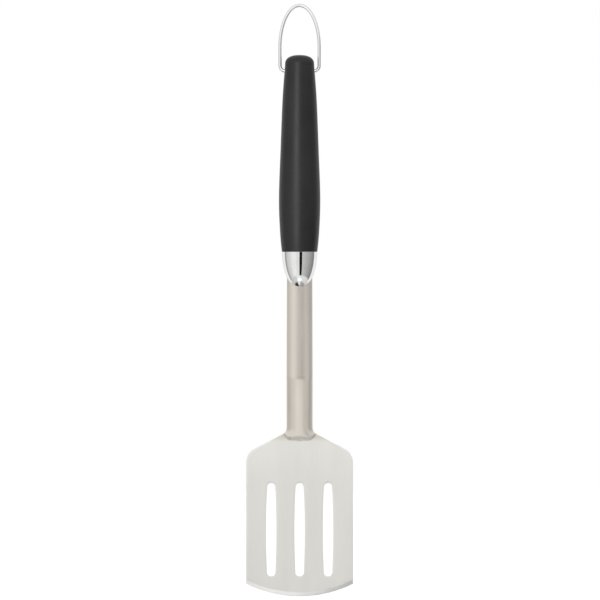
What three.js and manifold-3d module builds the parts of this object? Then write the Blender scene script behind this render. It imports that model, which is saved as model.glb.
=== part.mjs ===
// Grill spatula: a slotted stainless blade on an arched, cranked shank whose tang is riveted between
// two core shells inside a soft grip, with a bolster over the joint and a wire loop to hang it by.
//
// Millimetres, +Z up. The spatula hangs from its loop. The origin is where a hook bears on the
// underside of the loop's crown, X runs across the blade, and the blade's food side faces -Y.

import * as THREE from 'three';
import { mergeVertices } from 'three/addons/utils/BufferGeometryUtils.js';
import Module from 'manifold-3d';

const wasm = await Module();
wasm.setup();

const { degToRad } = THREE.MathUtils;

// ---- driving dimensions ----

const gap = 0.3; // between pieces that touch
const beyond = 80; // how far a cut runs from the handle's axis, well past what it cuts
const overcut = 3; // how far a cut or a blank runs past the face where it ends
const roundSides = 20; // flats that stand for the round of a bar, a hole or a rivet
const bodySides = 32; // the same for the handle, the spigot and the bolster
const slopeStep = 0.01; // between the two places that a slope of the sheet is taken from

const loop = {
  wire: 2.5, // diameter
  height: 49.2, // from the pivot up to the underside of the crown
  halfWidth: 15.1, // centre line of a side, from the middle
  crownRise: 32, // the half ellipse at the top
  cornerRadius: 4, // where a side turns inward to its pivot leg
  legEnd: 5.5, // inner end of a leg, from the middle
};

const handle = {
  topAbovePivot: 12.3,
  length: 151.6,
  depthRatio: 0.86, // the oval section's depth over its width
  topHalfWidth: 11.2, // where the domed top starts
  neckHalfWidth: 13.2,
  neckDrop: 34.6, // from the top
  palmHalfWidth: 14.65,
  palmDrop: 71.5,
  bellyHalfWidth: 15.95, // the widest place
  bellyDrop: 110,
  taperHalfWidth: 15.1, // on the way in to the foot
  taperDrop: 136.1,
  footHalfWidth: 13.7,
  domeHeight: 7,
  domeFullness: 2.4, // exponent of the dome's superellipse
  sleeveWall: 2.5,
  holeClearance: 0.75, // of the sleeve's hole round each leg of the loop
};

const core = {
  spigotStep: 0.5, // how far the spigot stands in from the core's front and back at its foot
  spigotLength: 8,
};

const bolster = {
  noseLength: 28.1,
};

const sheet = {
  thickness: 1.5,
};

const tang = {
  halfWidth: 8,
  setback: 38.1, // its end, below the handle's top
  formLength: 14, // over which the flat tang becomes the arched shank
  formInSpigot: 5, // how far above the spigot's end that starts
  endRound: 3, // tangent length of its end's corners
};

const shank = {
  topHalfWidth: 9.75, // next to the handle
  halfWidth: 10, // from the crank down
  sideRound: 1, // tangent length where its sides change direction
  archRise: 5,
  archFullness: 2.7, // exponent of the arch's section
  seat: 2, // how far its edges lie behind the handle's axis
  toCrank: 97, // from the handle's lower end
  crankAngle: degToRad(20),
  crankBend: 3.5, // length over which the crank turns
  crankDrop: 42.5, // from the crank to the heel
};

const neck = {
  aboveHeel: 4, // where the shank starts to flare
  flare: 0.14, // growth of the ridge's half width per square of the way down
  toeBelowShank: 10.2, // where the end wall of the ridge meets the blade, at its middle
  toeSlope: degToRad(45), // of that wall, from the blade
  toeRound: 0.35, // share of the wall's height over which each of its ends is rounded
  toeHalfWidth: 12.6,
  toeBow: 5.6, // how much higher it meets the blade that far out
  toeFullness: 5, // exponent of the toe's rounded line
};

const blade = {
  halfWidth: 41.2,
  length: 125.6, // from the heel to the tip, down Z
  angle: degToRad(8), // forward of the vertical
  heelBend: 3,
  shoulderStart: 0.5, // where the shoulders' line would meet the shank's side, above the heel
  shoulderSlope: degToRad(27.5),
  shoulderRadius: 7.6, // tangent length of the rounded shoulder
  neckRadius: 3.6, // tangent length of the fillet between shank and shoulder
  frontSagitta: 9.5,
  cornerRadius: 1.2,
  bevelWidth: 3,
  bevelDepth: 0.9,
};

const slots = {
  pitch: 21.9,
  perSide: 1, // beside the middle one
  length: 71.7,
  topHalfWidth: 3.1,
  midHalfWidth: 4,
  bottomHalfWidth: 3.2,
  capHeight: 2.9,
  aboveTip: 15.2, // from the blade's tip to the slots' lower ends
};

const rivets = {
  names: ['bottom', 'middle', 'top'],
  radius: 2.4,
  headRadius: 4,
  headHeight: 1.3,
  endMargin: 14, // from each end of the clamped tang
};

// ---- places that follow from them ----

const pivotZ = -loop.height;
const handleTop = pivotZ + handle.topAbovePivot;
const handleFoot = handleTop - handle.length;
const spigotRadius = (handle.footHalfWidth - handle.sleeveWall - gap) * handle.depthRatio - core.spigotStep;
const tangTop = handleTop - tang.setback;
const formTop = handleFoot - core.spigotLength + tang.formInSpigot;
const crankZ = handleFoot - shank.toCrank;
const heelZ = crankZ - shank.crankDrop;
const neckZ = heelZ + neck.aboveHeel;
const toeZ = neckZ - neck.toeBelowShank;
const tipZ = heelZ - blade.length;
const foldSlope = Math.tan(shank.crankAngle) + Math.tan(blade.angle);
const frontRadius = (blade.halfWidth ** 2 + blade.frontSagitta ** 2) / (2 * blade.frontSagitta);
const frontCentreZ = tipZ + frontRadius;

// ---- solids ----

/** A closed geometry as a solid that can be cut and joined. */
function toSolid(geometry) {
  geometry.deleteAttribute('normal');
  geometry.deleteAttribute('uv');
  const merged = mergeVertices(geometry);
  const corners = merged.index.array;
  const kept = [];
  for (let i = 0; i < corners.length; i += 3) {
    const [a, b, c] = corners.slice(i, i + 3);
    if (a !== b && b !== c && c !== a) kept.push(a, b, c);
  }
  return new wasm.Manifold(new wasm.Mesh({
    numProp: 3,
    vertProperties: merged.attributes.position.array,
    triVerts: Uint32Array.from(kept),
  }));
}

/** A solid as a geometry with flat faces. */
function toGeometry(solid) {
  const { vertProperties, triVerts } = solid.getMesh();
  const geometry = new THREE.BufferGeometry();
  geometry.setAttribute('position', new THREE.BufferAttribute(vertProperties, 3));
  geometry.setIndex(new THREE.BufferAttribute(triVerts, 1));
  return geometry;
}

/** A solid of revolution about Z, from its outline of [radius, z] pairs going up. */
function turned(outline, sides) {
  const points = outline.map(([radius, z]) => new THREE.Vector2(radius, z));
  return new THREE.LatheGeometry(points, sides).rotateX(Math.PI / 2);
}

/** A round bar along Y at height z, centred on the handle's axis. */
function barThrough(radius, halfLength, z) {
  return toSolid(new THREE.CylinderGeometry(radius, radius, 2 * halfLength, roundSides).translate(0, 0, z));
}

/** A round bar along X on the loop's pivot, from `inner` outward on one side. */
function barOutward(radius, inner, side) {
  return toSolid(new THREE.CylinderGeometry(radius, radius, beyond, roundSides)
    .rotateZ(-Math.PI / 2)
    .translate(side * (inner + beyond / 2), 0, pivotZ));
}

/** A shape drawn in X and Z, made solid from far in front to far behind. */
function cutThrough(shape) {
  return toSolid(new THREE.ExtrudeGeometry(shape, {
    depth: 2 * beyond,
    bevelEnabled: false,
    curveSegments: 10,
  }).rotateX(Math.PI / 2).translate(0, beyond, 0));
}

/** 0 below 0, 1 above 1 and a smooth step between. */
function smoothStep(t) {
  return THREE.MathUtils.smoothstep(t, 0, 1);
}

/** Distance past a bend that turns evenly over its length and is centred on zero. */
function pastBend(distance, bendLength) {
  const into = distance + bendLength / 2;
  if (into <= 0) return 0;
  return into < bendLength ? into ** 2 / (2 * bendLength) : distance;
}

// ---- blade and shank ----

/** Height of the arched ridge over the sheet's edges. */
function ridgeHeight(x, z) {
  const spread = Math.max(0, neckZ - z);
  const across = Math.abs(x) / (shank.halfWidth + neck.flare * spread ** 2);
  const arch = shank.archRise * Math.max(0, 1 - across ** shank.archFullness);
  const crown = arch - foldSlope * pastBend(heelZ - z, blade.heelBend);
  if (crown <= 0) return 0;
  const foot = toeZ + neck.toeBow * Math.abs(x / neck.toeHalfWidth) ** neck.toeFullness;
  const up = Math.tan(neck.toeSlope) * (z - foot) / crown;
  return crown * (pastBend(up, neck.toeRound) - pastBend(up - 1, neck.toeRound));
}

/** Y of the sheet's middle surface at a point of its outline. */
function sheetDepth(x, z) {
  const formed = smoothStep((formTop - z) / tang.formLength);
  return formed * (shank.seat - ridgeHeight(x, z))
    + Math.tan(shank.crankAngle) * pastBend(crankZ - z, shank.crankBend)
    - foldSlope * pastBend(heelZ - z, blade.heelBend);
}

/** How much is ground off the food side next to the front edge. */
function bevelDepth(x, z) {
  const inEdge = Math.hypot(x, z - frontCentreZ) - (frontRadius - blade.bevelWidth);
  return z < frontCentreZ ? blade.bevelDepth * Math.max(0, inEdge / blade.bevelWidth) : 0;
}

/** Values from each start to the next, in equal steps, as [start, steps] pairs and a last end. */
function stations(runs, end) {
  return runs.flatMap(([start, steps], i) => {
    const next = i + 1 < runs.length ? runs[i + 1][0] : end;
    return Array.from({ length: steps }, (_, k) => start + (next - start) * k / steps);
  }).concat(end);
}

/** The pressed sheet before it is trimmed to its outline, thickened by an allowance each side. */
function pressedSheet(allowance) {
  const wide = blade.halfWidth + overcut;
  const ridge = neck.toeHalfWidth + overcut / 2;
  const across = stations([[-wide, 2], [-ridge, 18], [ridge, 2]], wide);
  const bend = shank.crankBend / 2;
  const up = stations([
    [tipZ - overcut, 1], [tipZ + blade.bevelWidth, 1], [toeZ - overcut, 3], [toeZ, 20],
    [neckZ, 1], [crankZ - bend, 6], [crankZ + bend, 1],
    [formTop - tang.formLength, 5], [formTop, 1],
  ], tangTop + overcut);

  const geometry = new THREE.BoxGeometry(1, 1, 1, across.length - 1, 1, up.length - 1);
  const place = geometry.attributes.position;
  for (let i = 0; i < place.count; i++) {
    const x = across[Math.round((place.getX(i) + 0.5) * (across.length - 1))];
    const level = up[Math.round((place.getZ(i) + 0.5) * (up.length - 1))];
    const z = level + frontBow(x, level);
    const normal = new THREE.Vector3(
      (sheetDepth(x - slopeStep, z) - sheetDepth(x + slopeStep, z)) / (2 * slopeStep),
      1,
      (sheetDepth(x, z - slopeStep) - sheetDepth(x, z + slopeStep)) / (2 * slopeStep),
    ).normalize();
    const side = Math.sign(place.getY(i));
    const ground = side < 0 ? bevelDepth(x, z) : 0;
    normal.multiplyScalar(side * (sheet.thickness / 2 + allowance - ground));
    place.setXYZ(i, x + normal.x, sheetDepth(x, z) + normal.y, z + normal.z);
  }
  return toSolid(geometry);
}

/** Lifts the lowest rows of the sheet's mesh towards the sides, so they follow the front edge. */
function frontBow(x, level) {
  const rise = frontRadius - Math.sqrt(frontRadius ** 2 - x ** 2);
  return level <= tipZ + blade.bevelWidth ? rise : 0;
}

/** Draws a line to a rounded corner and round it, each end `reach` from the corner. */
function roundCorner(shape, corner, next, reach) {
  const from = shape.currentPoint;
  const start = corner.clone().add(from.clone().sub(corner).setLength(reach));
  const end = corner.clone().add(next.clone().sub(corner).setLength(reach));
  shape.lineTo(start.x, start.y);
  shape.quadraticCurveTo(corner.x, corner.y, end.x, end.y);
}

/** One side of the outline from the tang's end to the front corner, as [x, z, rounding]. */
function sideCorners(grow) {
  const slope = Math.tan(blade.shoulderSlope);
  const shoulderZ = heelZ + blade.shoulderStart;
  return [
    [tang.halfWidth + grow, tangTop + grow, tang.endRound],
    [tang.halfWidth + grow, formTop, shank.sideRound],
    [shank.topHalfWidth + grow, formTop - tang.formLength / 2, shank.sideRound],
    [shank.halfWidth + grow, crankZ, shank.sideRound],
    [shank.halfWidth + grow, shoulderZ, blade.neckRadius],
    [blade.halfWidth, shoulderZ - (blade.halfWidth - shank.halfWidth) * slope, blade.shoulderRadius],
    [blade.halfWidth, tipZ + blade.frontSagitta, blade.cornerRadius],
  ];
}

/** The outline of the whole stamping, its tang and shank grown by an allowance. */
function stampingOutline(grow) {
  const right = sideCorners(grow);
  const left = right.map(([x, z, reach]) => [-x, z, reach]).reverse();
  const shape = new THREE.Shape().moveTo(0, tangTop + grow);
  const turn = (corners, last) => corners.forEach(([x, z, reach], i) => {
    const [nextX, nextZ] = corners[i + 1] ?? last;
    roundCorner(shape, new THREE.Vector2(x, z), new THREE.Vector2(nextX, nextZ), reach);
  });
  turn(right, [0, tipZ]);
  const half = Math.asin((blade.halfWidth - blade.cornerRadius) / frontRadius);
  shape.absarc(0, frontCentreZ, frontRadius, half - Math.PI / 2, -half - Math.PI / 2, true);
  turn(left, [0, tangTop + grow]);
  shape.closePath();
  return shape;
}

/** A slot with bowed sides and round ends, centred on x. */
function slotOutline(x) {
  const bottom = tipZ + slots.aboveTip + slots.capHeight;
  const top = bottom + slots.length - 2 * slots.capHeight;
  const bow = 2 * slots.midHalfWidth - (slots.topHalfWidth + slots.bottomHalfWidth) / 2;
  const middle = (top + bottom) / 2;
  return new THREE.Shape()
    .moveTo(x - slots.topHalfWidth, top)
    .quadraticCurveTo(x - bow, middle, x - slots.bottomHalfWidth, bottom)
    .absellipse(x, bottom, slots.bottomHalfWidth, slots.capHeight, Math.PI, 2 * Math.PI, false)
    .quadraticCurveTo(x + bow, middle, x + slots.topHalfWidth, top)
    .absellipse(x, top, slots.topHalfWidth, slots.capHeight, 0, Math.PI, false);
}

/** The stamping without its slots and holes, thickened by an allowance. */
function stampedBlank(allowance) {
  return pressedSheet(allowance).intersect(cutThrough(stampingOutline(allowance)));
}

function bladeAndShank() {
  let solid = stampedBlank(0);
  for (let i = -slots.perSide; i <= slots.perSide; i++) {
    solid = solid.subtract(cutThrough(slotOutline(i * slots.pitch)));
  }
  for (const z of rivetPlaces()) {
    solid = solid.subtract(barThrough(rivets.radius + gap, sheet.thickness, z));
  }
  return solid;
}

// ---- handle ----

/** The handle's outline in [half width, z], going up, drawn in by an inset. */
function handleOutline(inset, foot) {
  const waist = new THREE.SplineCurve([
    [handle.footHalfWidth, handle.length],
    [handle.taperHalfWidth, handle.taperDrop],
    [handle.bellyHalfWidth, handle.bellyDrop],
    [handle.palmHalfWidth, handle.palmDrop],
    [handle.neckHalfWidth, handle.neckDrop],
    [handle.topHalfWidth, handle.domeHeight],
  ].map(([halfWidth, drop]) => new THREE.Vector2(halfWidth - inset, handleTop - drop)));
  const waistSteps = 15;
  const side = waist.getPoints(waistSteps).map(({ x, y }) => [x, y]);
  side[0][1] = foot;
  const power = 2 / handle.domeFullness;
  const domeSteps = 6;
  const dome = Array.from({ length: domeSteps }, (_, k) => {
    const turn = (k + 1) / domeSteps * Math.PI / 2;
    return [
      (handle.topHalfWidth - inset) * Math.cos(turn) ** power,
      handleTop - handle.domeHeight + (handle.domeHeight - inset) * Math.sin(turn) ** power,
    ];
  });
  dome[domeSteps - 1][0] = 0;
  return [[0, foot], ...side, ...dome];
}

/** The oval body of the handle, drawn in by an inset, down to a given foot. */
function handleBody(inset, foot) {
  return toSolid(turned(handleOutline(inset, foot), bodySides).scale(1, handle.depthRatio, 1));
}

function gripSleeve() {
  let solid = handleBody(0, handleFoot);
  solid = solid.subtract(handleBody(handle.sleeveWall, handleFoot - overcut));
  for (const side of [-1, 1]) {
    solid = solid.subtract(barOutward(loop.wire / 2 + handle.holeClearance, loop.legEnd, side));
  }
  return solid;
}

/** The rigid core as one body: the inside of the sleeve, a spigot below it and its pockets. */
function wholeCore() {
  let solid = handleBody(handle.sleeveWall + gap, handleFoot);
  const spigot = turned([
    [0, handleFoot - core.spigotLength], [spigotRadius, handleFoot - core.spigotLength],
    [spigotRadius, handleFoot + overcut], [0, handleFoot + overcut],
  ], bodySides);
  solid = solid.add(toSolid(spigot)).subtract(stampedBlank(gap));
  for (const side of [-1, 1]) {
    solid = solid.subtract(barOutward(loop.wire / 2 + gap, loop.legEnd - gap, side));
  }
  for (const z of rivetPlaces()) {
    const floor = rivetReach(z) - rivets.headHeight - gap;
    solid = solid.subtract(barThrough(rivets.radius + gap, beyond, z));
    for (const side of [-1, 1]) {
      const pocket = barThrough(rivets.headRadius + gap, beyond / 2, z);
      solid = solid.subtract(pocket.translate([0, side * (floor + beyond / 2), 0]));
    }
  }
  return solid;
}

/** Half of the core: side is -1 for the food side and 1 for the back. */
function coreShell(side) {
  const half = new THREE.BoxGeometry(beyond, beyond, 3 * handle.length)
    .translate(0, side * (beyond + gap) / 2, handleFoot);
  return wholeCore().intersect(toSolid(half));
}

// ---- rivets ----

/** Heights of the rivets, evenly spread over the clamped tang. */
function rivetPlaces() {
  const low = handleFoot + rivets.endMargin;
  const high = tangTop - rivets.endMargin;
  return rivets.names.map((_, i) => THREE.MathUtils.lerp(low, high, i / (rivets.names.length - 1)));
}

/** Half the length that a rivet may have at height z, so its heads stay under the sleeve. */
function rivetReach(z) {
  const outline = handleOutline(handle.sleeveWall + gap, handleFoot);
  const above = outline.findIndex(([, level], i) => i > 1 && level > z);
  const [[lowWidth, low], [highWidth, high]] = [outline[above - 1], outline[above]];
  const halfWidth = THREE.MathUtils.mapLinear(z, low, high, lowWidth, highWidth);
  const edge = (rivets.headRadius + gap) / halfWidth;
  return halfWidth * handle.depthRatio * Math.sqrt(1 - edge ** 2) - gap;
}

function rivet(z) {
  const reach = rivetReach(z);
  const under = reach - rivets.headHeight;
  const outline = [
    [0, -reach], [rivets.headRadius, -reach], [rivets.headRadius, -under], [rivets.radius, -under],
    [rivets.radius, under], [rivets.headRadius, under], [rivets.headRadius, reach], [0, reach],
  ];
  return turned(outline, roundSides).rotateX(-Math.PI / 2).translate(0, 0, z);
}

// ---- bolster ----

function bolsterSolid() {
  const top = handleFoot - gap;
  const steps = 11;
  const nose = Array.from({ length: steps + 1 }, (_, k) => {
    const turn = k / steps * Math.PI / 2;
    return [handle.footHalfWidth * Math.sin(turn), top - bolster.noseLength * Math.cos(turn)];
  });
  const body = turned([...nose, [0, top]], bodySides).scale(1, handle.depthRatio, 1);
  const floor = handleFoot - core.spigotLength - gap;
  const socket = turned([
    [0, floor], [spigotRadius + gap, floor],
    [spigotRadius + gap, top + overcut], [0, top + overcut],
  ], bodySides);
  return toSolid(body).subtract(toSolid(socket)).subtract(stampedBlank(gap));
}

// ---- hanging loop ----

/** A curve that goes from point to point, so that a sweep along it has a section at each. */
class SteppedCurve extends THREE.Curve {
  constructor(points) {
    super();
    this.points = points;
  }

  getPoint(t, target = new THREE.Vector3()) {
    const place = t * (this.points.length - 1);
    const index = Math.min(Math.floor(place), this.points.length - 2);
    return target.lerpVectors(this.points[index], this.points[index + 1], place - index);
  }

  getPointAt(u, target) {
    return this.getPoint(u, target);
  }

  getTangentAt(u, target) {
    return this.getTangent(u, target);
  }
}

/** The wire's centre line in X and Z, from the end of one leg to the end of the other. */
function wireLine() {
  const { halfWidth, cornerRadius, crownRise, legEnd, wire } = loop;
  const corner = halfWidth - cornerRadius;
  const cornerZ = pivotZ + cornerRadius;
  const springZ = wire / 2 - crownRise;
  return new THREE.Path()
    .moveTo(-legEnd, pivotZ)
    .lineTo(-corner, pivotZ)
    .absarc(-corner, cornerZ, cornerRadius, -Math.PI / 2, -Math.PI, true)
    .lineTo(-halfWidth, springZ)
    .absellipse(0, springZ, halfWidth, crownRise, Math.PI, Math.PI / 2, true)
    .absellipse(0, springZ, halfWidth, crownRise, Math.PI / 2, 0, true)
    .lineTo(halfWidth, cornerZ)
    .absarc(corner, cornerZ, cornerRadius, 0, -Math.PI / 2, true)
    .lineTo(legEnd, pivotZ);
}

function hangingLoop() {
  const points = wireLine().getPoints(6).map(({ x, y }) => new THREE.Vector3(x, 0, y));
  const section = new THREE.Shape().absarc(0, 0, loop.wire / 2, 0, 2 * Math.PI);
  return new THREE.ExtrudeGeometry(section, {
    steps: points.length - 1,
    curveSegments: 6,
    bevelEnabled: false,
    extrudePath: new SteppedCurve(points),
  });
}

// ---- assembly ----

const finishes = {
  satinSteel: { color: 0xd8d6d0, roughness: 0.35, metalness: 1 },
  chrome: { color: 0xe6e6e6, roughness: 0.08, metalness: 1 },
  wire: { color: 0xdedede, roughness: 0.15, metalness: 1 },
  softGrip: { color: 0x2b2b2b, roughness: 0.85, metalness: 0 },
  corePlastic: { color: 0x3a3a3a, roughness: 0.6, metalness: 0 },
  rivetSteel: { color: 0xb5b5b5, roughness: 0.4, metalness: 1 },
};

const spatula = new THREE.Group();

/** Adds a named piece, each with its own material. */
function addPiece(name, geometry, finish) {
  const mesh = new THREE.Mesh(geometry, new THREE.MeshStandardMaterial(finish));
  mesh.name = name;
  spatula.add(mesh);
}

addPiece('blade_and_shank', toGeometry(bladeAndShank()), finishes.satinSteel);
addPiece('bolster', toGeometry(bolsterSolid()), finishes.chrome);
addPiece('grip_sleeve', toGeometry(gripSleeve()), finishes.softGrip);
addPiece('core_front_shell', toGeometry(coreShell(-1)), finishes.corePlastic);
addPiece('core_back_shell', toGeometry(coreShell(1)), finishes.corePlastic);
rivetPlaces().forEach((z, i) => {
  addPiece(`tang_rivet_${rivets.names[i]}`, rivet(z), finishes.rivetSteel);
});
addPiece('hanging_loop', hangingLoop(), finishes.wire);

export default spatula;
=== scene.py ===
"""Grill spatula: the visible pieces, their finishes and the studio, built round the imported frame.

The spatula hangs from its loop. +Z is up, X runs across the blade and the food side faces -Y.
Sizes are in millimetres until a mesh is finished, and in metres after that.
"""

import logging
import math
from collections.abc import Callable, Iterable
from dataclasses import dataclass
from enum import Enum

import bmesh
import bpy
from mathutils import Matrix, Vector


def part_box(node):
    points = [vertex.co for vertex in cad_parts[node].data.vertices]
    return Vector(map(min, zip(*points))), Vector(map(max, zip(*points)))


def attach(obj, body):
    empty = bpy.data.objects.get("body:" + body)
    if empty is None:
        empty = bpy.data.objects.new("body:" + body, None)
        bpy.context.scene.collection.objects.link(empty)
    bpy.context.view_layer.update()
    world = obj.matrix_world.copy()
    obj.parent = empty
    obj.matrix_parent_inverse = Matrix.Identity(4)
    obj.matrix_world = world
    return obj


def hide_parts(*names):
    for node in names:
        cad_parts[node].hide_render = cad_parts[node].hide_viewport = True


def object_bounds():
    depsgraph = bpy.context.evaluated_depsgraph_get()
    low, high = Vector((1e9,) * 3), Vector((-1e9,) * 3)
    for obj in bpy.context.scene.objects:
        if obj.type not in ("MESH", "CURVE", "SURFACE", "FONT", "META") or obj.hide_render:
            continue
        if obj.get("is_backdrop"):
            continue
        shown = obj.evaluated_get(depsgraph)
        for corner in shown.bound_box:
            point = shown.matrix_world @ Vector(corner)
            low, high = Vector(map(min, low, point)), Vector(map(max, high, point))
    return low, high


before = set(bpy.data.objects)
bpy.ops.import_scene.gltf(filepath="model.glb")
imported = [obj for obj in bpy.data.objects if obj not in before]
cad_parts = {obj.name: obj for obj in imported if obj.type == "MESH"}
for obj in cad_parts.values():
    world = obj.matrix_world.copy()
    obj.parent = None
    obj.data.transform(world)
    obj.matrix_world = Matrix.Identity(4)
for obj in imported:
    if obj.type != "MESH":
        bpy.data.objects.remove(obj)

Socket = bpy.types.NodeSocket
BMesh = bmesh.types.BMesh
Pair = tuple[float, float]
Triple = tuple[float, float, float]

MM = 0.001
WELD = 1e-4  # vertices closer than this are merged
BEVEL = {"affect": "EDGES", "segments": 3, "profile": 0.5, "material": -1}
LOG = logging.getLogger("spatula")


# ---- small helpers -------------------------------------------------------------------------


def node_box(name: str) -> tuple[Vector, Vector]:
    """The lowest and highest corner of a CAD node, in millimetres."""
    low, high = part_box(name)
    return low / MM, high / MM


def smooth_step(t: float) -> float:
    """Goes smoothly from 0 to 1 while t does, and stays there on both sides."""
    t = min(1.0, max(0.0, t))
    return t * t * (3 - 2 * t)


def bezier(start: float, control: float, end: float, t: float) -> float:
    """One coordinate of a quadratic curve, which goes from start to end while t goes to 1."""
    return (1 - t) ** 2 * start + 2 * t * (1 - t) * control + t**2 * end


def quarter_turn(steps: int) -> list[Pair]:
    """The sines and cosines of evenly spaced angles from 0 to 90 degrees."""
    turns = [math.pi / 2 * step / steps for step in range(steps + 1)]
    return [(math.sin(turn), math.cos(turn)) for turn in turns]


def runs(starts: Iterable[float], counts: Iterable[int], end: float) -> list[float]:
    """Evenly spaced values in consecutive stretches.

    Args:
        starts: where each stretch starts.
        counts: how many steps each takes.
        end: where the last stretch ends.

    Returns:
        Every value from the first start to the end.
    """
    stations = [*starts, end]
    values = [
        start + (stop - start) * step / count
        for start, stop, count in zip(stations, stations[1:], counts)
        for step in range(count)
    ]
    return values + [end]


def stand(name: str, data: bpy.types.ID) -> bpy.types.Object:
    """Puts a new object that holds the data into the scene."""
    made = bpy.data.objects.new(name, data)
    bpy.context.scene.collection.objects.link(made)
    return made


def shade(mesh: bpy.types.Mesh, sharp: float) -> None:
    """Shades a mesh smooth but for the edges from an angle in degrees up."""
    mesh.shade_smooth()
    mesh.set_sharp_from_angle(angle=math.radians(sharp))


def finish_piece(bm: BMesh, name: str, sharp: float = 180.0) -> bpy.types.Object:
    """Turns a bmesh in millimetres into a shaded object in metres.

    Args:
        bm: the mesh, which is freed.
        name: the object's name.
        sharp: the angle in degrees from which edges are shaded sharp.

    Returns:
        The new object, at the origin.
    """
    bmesh.ops.scale(bm, vec=Vector((MM, MM, MM)), verts=bm.verts)
    mesh = bpy.data.meshes.new(name)
    bm.to_mesh(mesh)
    bm.free()
    shade(mesh, sharp)
    return stand(name, mesh)


def cut(piece: bpy.types.Object, tools: Iterable[bpy.types.Object], sharp: float) -> None:
    """Cuts closed tools out of a closed piece and deletes the tools.

    Args:
        piece: the object to cut.
        tools: the objects that are cut away.
        sharp: the angle in degrees from which the result's edges are shaded sharp.
    """
    tools = list(tools)
    for tool in tools:
        modifier = piece.modifiers.new("cut", "BOOLEAN")
        modifier.operation = "DIFFERENCE"
        modifier.solver = "EXACT"
        modifier.object = tool
    evaluated = piece.evaluated_get(bpy.context.evaluated_depsgraph_get())
    mesh = bpy.data.meshes.new_from_object(evaluated)
    piece.modifiers.clear()
    old, piece.data = piece.data, mesh
    mesh.name = piece.name
    bpy.data.meshes.remove(old)
    shade(mesh, sharp)
    for tool in tools:
        bpy.data.meshes.remove(tool.data)


def rod(name: str, radius: float, start: Vector, end: Vector) -> bpy.types.Object:
    """A plain round rod, used as a cutting tool.

    Args:
        name: the object's name.
        radius: the rod's radius in millimetres.
        start: the middle of one end.
        end: the middle of the other end.

    Returns:
        The rod as an object.
    """
    bm = bmesh.new()
    along = end - start
    turn = along.to_track_quat("Z", "Y").to_matrix().to_4x4()
    place = Matrix.Translation((start + end) / 2) @ turn
    bmesh.ops.create_cone(
        bm, cap_ends=True, segments=48, radius1=radius, radius2=radius,
        depth=along.length, matrix=place,
    )
    return finish_piece(bm, name)


def spun(profile: list[Pair], steps: int, depth_ratio: float) -> BMesh:
    """Spins an outline round Z and flattens it into an oval.

    Args:
        profile: points of radius and height, the first and the last on the axis or the same.
        steps: how many steps the spin takes.
        depth_ratio: the oval's depth over its width.

    Returns:
        The closed mesh, with its faces pointing out.
    """
    bm = bmesh.new()
    verts = [bm.verts.new((radius, 0, height)) for radius, height in profile]
    for first, second in zip(verts, verts[1:]):
        bm.edges.new((first, second))
    bmesh.ops.spin(
        bm, geom=bm.verts[:] + bm.edges[:], cent=(0, 0, 0), axis=(0, 0, 1),
        angle=math.tau, steps=steps, use_merge=True,
    )
    bmesh.ops.remove_doubles(bm, verts=bm.verts, dist=WELD)
    bmesh.ops.scale(bm, vec=Vector((1, depth_ratio, 1)), verts=bm.verts)
    bmesh.ops.recalc_face_normals(bm, faces=bm.faces)
    return bm


# ---- finishes ------------------------------------------------------------------------------


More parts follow.
